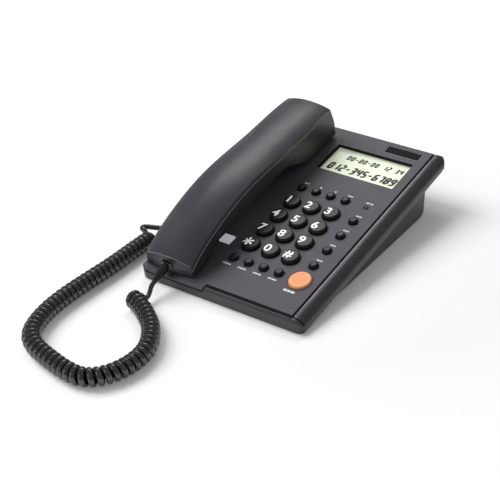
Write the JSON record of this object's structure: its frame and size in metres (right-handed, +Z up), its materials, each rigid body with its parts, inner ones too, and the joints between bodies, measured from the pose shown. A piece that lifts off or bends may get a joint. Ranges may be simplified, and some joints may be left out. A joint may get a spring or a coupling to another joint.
{
  "type": "corded telephone",
  "caption": "Corded desk telephone with a sloped wedge base, caller display, oval push keys, an arched handset in its cradle and a curly cord.",
  "frame": {"origin": "on the table, under the middle of the base's outline", "axes": "+Z up; +Y towards the back, away from the caller; +X to the caller's right"},
  "size_m": [0.1655, 0.3489, 0.0722],
  "materials": {
    "housing": "satin, dark charcoal",
    "panel": "fine metallic charcoal grain",
    "handset": "satin charcoal",
    "black_key": "polished black",
    "orange_key": "polished orange",
    "clear_lens": "clear window",
    "display": "pale green liquid crystal",
    "name_plate": "bare plate",
    "lamp_lens": "milky grey",
    "red_led": "red tinted",
    "membrane": "grey silicone",
    "board": "green laminate",
    "speaker": "black paper and steel",
    "capsule": "plain can",
    "switch": "moulded",
    "jack": "moulded black",
    "foot": "soft black",
    "screw": "zinc plated",
    "plug": "moulded black",
    "cord": "glossy black jacket",
    "weight": "plain bar"
  },
  "bodies": {
    "base": {"top_housing": "housing", "face_plate": "panel", "bottom_housing": "housing", "lcd_lens": "clear_lens", "lcd_module": "display", "name_plate": "name_plate", "ring_lamp_lens": "lamp_lens", "in_use_led": "red_led", "keypad_membrane": "membrane", "main_board": "board", "loudspeaker": "speaker", "base_microphone": "capsule", "hook_microswitch": "switch", "cord_jack": "jack", "line_jack": "jack", "rubber_feet": "foot", "housing_screws": "screw", "board_screws": "screw", "base_plug": "plug", "base_lead": "cord", "curly_cord": "cord", "handset_lead": "cord"},
    "handset": {"handset_cover": "handset", "handset_shell": "handset", "receiver_capsule": "capsule", "receiver_seal": "foot", "microphone_capsule": "capsule", "handset_weight": "weight", "handset_jack": "jack", "handset_screws": "screw", "handset_plug": "plug"},
    "hook": {"hook_plunger": "switch"},
    "key_1": {"key_1": "black_key"},
    "key_2": {"key_2": "black_key"},
    "key_3": {"key_3": "black_key"},
    "key_4": {"key_4": "black_key"},
    "key_5": {"key_5": "black_key"},
    "key_6": {"key_6": "black_key"},
    "key_7": {"key_7": "black_key"},
    "key_8": {"key_8": "black_key"},
    "key_9": {"key_9": "black_key"},
    "key_star": {"key_star": "black_key"},
    "key_0": {"key_0": "black_key"},
    "key_hash": {"key_hash": "black_key"},
    "upper_key_1": {"upper_key_1": "black_key"},
    "upper_key_2": {"upper_key_2": "black_key"},
    "upper_key_3": {"upper_key_3": "black_key"},
    "upper_key_4": {"upper_key_4": "black_key"},
    "lower_key_1": {"lower_key_1": "black_key"},
    "lower_key_2": {"lower_key_2": "black_key"},
    "lower_key_3": {"lower_key_3": "black_key"},
    "lower_key_4": {"lower_key_4": "black_key"},
    "side_key_1": {"side_key_1": "black_key"},
    "side_key_2": {"side_key_2": "black_key"},
    "side_key_3": {"side_key_3": "black_key"},
    "side_key_4": {"side_key_4": "black_key"},
    "speaker_key": {"speaker_key": "orange_key"}
  },
  "joints": [
    {"name": "key_1_press", "type": "slide", "parent": "base", "child": "key_1", "axis": [0, 0.1499, -0.9887], "range_m": [0, 0.0015], "stiffness_N_per_m": 400},
    {"name": "key_2_press", "type": "slide", "parent": "base", "child": "key_2", "axis": [0, 0.1499, -0.9887], "range_m": [0, 0.0015], "stiffness_N_per_m": 400},
    {"name": "key_3_press", "type": "slide", "parent": "base", "child": "key_3", "axis": [0, 0.1499, -0.9887], "range_m": [0, 0.0015], "stiffness_N_per_m": 400},
    {"name": "key_4_press", "type": "slide", "parent": "base", "child": "key_4", "axis": [0, 0.1499, -0.9887], "range_m": [0, 0.0015], "stiffness_N_per_m": 400},
    {"name": "key_5_press", "type": "slide", "parent": "base", "child": "key_5", "axis": [0, 0.1499, -0.9887], "range_m": [0, 0.0015], "stiffness_N_per_m": 400},
    {"name": "key_6_press", "type": "slide", "parent": "base", "child": "key_6", "axis": [0, 0.1499, -0.9887], "range_m": [0, 0.0015], "stiffness_N_per_m": 400},
    {"name": "key_7_press", "type": "slide", "parent": "base", "child": "key_7", "axis": [0, 0.1499, -0.9887], "range_m": [0, 0.0015], "stiffness_N_per_m": 400},
    {"name": "key_8_press", "type": "slide", "parent": "base", "child": "key_8", "axis": [0, 0.1499, -0.9887], "range_m": [0, 0.0015], "stiffness_N_per_m": 400},
    {"name": "key_9_press", "type": "slide", "parent": "base", "child": "key_9", "axis": [0, 0.1499, -0.9887], "range_m": [0, 0.0015], "stiffness_N_per_m": 400},
    {"name": "key_star_press", "type": "slide", "parent": "base", "child": "key_star", "axis": [0, 0.1499, -0.9887], "range_m": [0, 0.0015], "stiffness_N_per_m": 400},
    {"name": "key_0_press", "type": "slide", "parent": "base", "child": "key_0", "axis": [0, 0.1499, -0.9887], "range_m": [0, 0.0015], "stiffness_N_per_m": 400},
    {"name": "key_hash_press", "type": "slide", "parent": "base", "child": "key_hash", "axis": [0, 0.1499, -0.9887], "range_m": [0, 0.0015], "stiffness_N_per_m": 400},
    {"name": "upper_key_1_press", "type": "slide", "parent": "base", "child": "upper_key_1", "axis": [0, 0.1499, -0.9887], "range_m": [0, 0.0012], "stiffness_N_per_m": 400},
    {"name": "upper_key_2_press", "type": "slide", "parent": "base", "child": "upper_key_2", "axis": [0, 0.1499, -0.9887], "range_m": [0, 0.0012], "stiffness_N_per_m": 400},
    {"name": "upper_key_3_press", "type": "slide", "parent": "base", "child": "upper_key_3", "axis": [0, 0.1499, -0.9887], "range_m": [0, 0.0012], "stiffness_N_per_m": 400},
    {"name": "upper_key_4_press", "type": "slide", "parent": "base", "child": "upper_key_4", "axis": [0, 0.1499, -0.9887], "range_m": [0, 0.0012], "stiffness_N_per_m": 400},
    {"name": "lower_key_1_press", "type": "slide", "parent": "base", "child": "lower_key_1", "axis": [0, 0.1499, -0.9887], "range_m": [0, 0.0012], "stiffness_N_per_m": 400},
    {"name": "lower_key_2_press", "type": "slide", "parent": "base", "child": "lower_key_2", "axis": [0, 0.1499, -0.9887], "range_m": [0, 0.0012], "stiffness_N_per_m": 400},
    {"name": "lower_key_3_press", "type": "slide", "parent": "base", "child": "lower_key_3", "axis": [0, 0.1499, -0.9887], "range_m": [0, 0.0012], "stiffness_N_per_m": 400},
    {"name": "lower_key_4_press", "type": "slide", "parent": "base", "child": "lower_key_4", "axis": [0, 0.1499, -0.9887], "range_m": [0, 0.0012], "stiffness_N_per_m": 400},
    {"name": "side_key_1_press", "type": "slide", "parent": "base", "child": "side_key_1", "axis": [0, 0.1499, -0.9887], "range_m": [0, 0.0012], "stiffness_N_per_m": 400},
    {"name": "side_key_2_press", "type": "slide", "parent": "base", "child": "side_key_2", "axis": [0, 0.1499, -0.9887], "range_m": [0, 0.0012], "stiffness_N_per_m": 400},
    {"name": "side_key_3_press", "type": "slide", "parent": "base", "child": "side_key_3", "axis": [0, 0.1499, -0.9887], "range_m": [0, 0.0012], "stiffness_N_per_m": 400},
    {"name": "side_key_4_press", "type": "slide", "parent": "base", "child": "side_key_4", "axis": [0, 0.1499, -0.9887], "range_m": [0, 0.0012], "stiffness_N_per_m": 400},
    {"name": "speaker_key_press", "type": "slide", "parent": "base", "child": "speaker_key", "axis": [0, 0.1499, -0.9887], "range_m": [0, 0.0015], "stiffness_N_per_m": 400},
    {"name": "handset_lift", "type": "slide", "parent": "base", "child": "handset", "axis": [0, -0.1499, 0.9887], "range_m": [0, 0.08], "deforming": ["handset_lead"]},
    {"name": "hook_rise", "type": "slide", "parent": "base", "child": "hook", "axis": [0, -0.1499, 0.9887], "range_m": [0, 0.004]}
  ],
  "couplings": [
    {"joint": "hook_rise", "follows": "handset_lift", "ratio": 0.05}
  ]
}
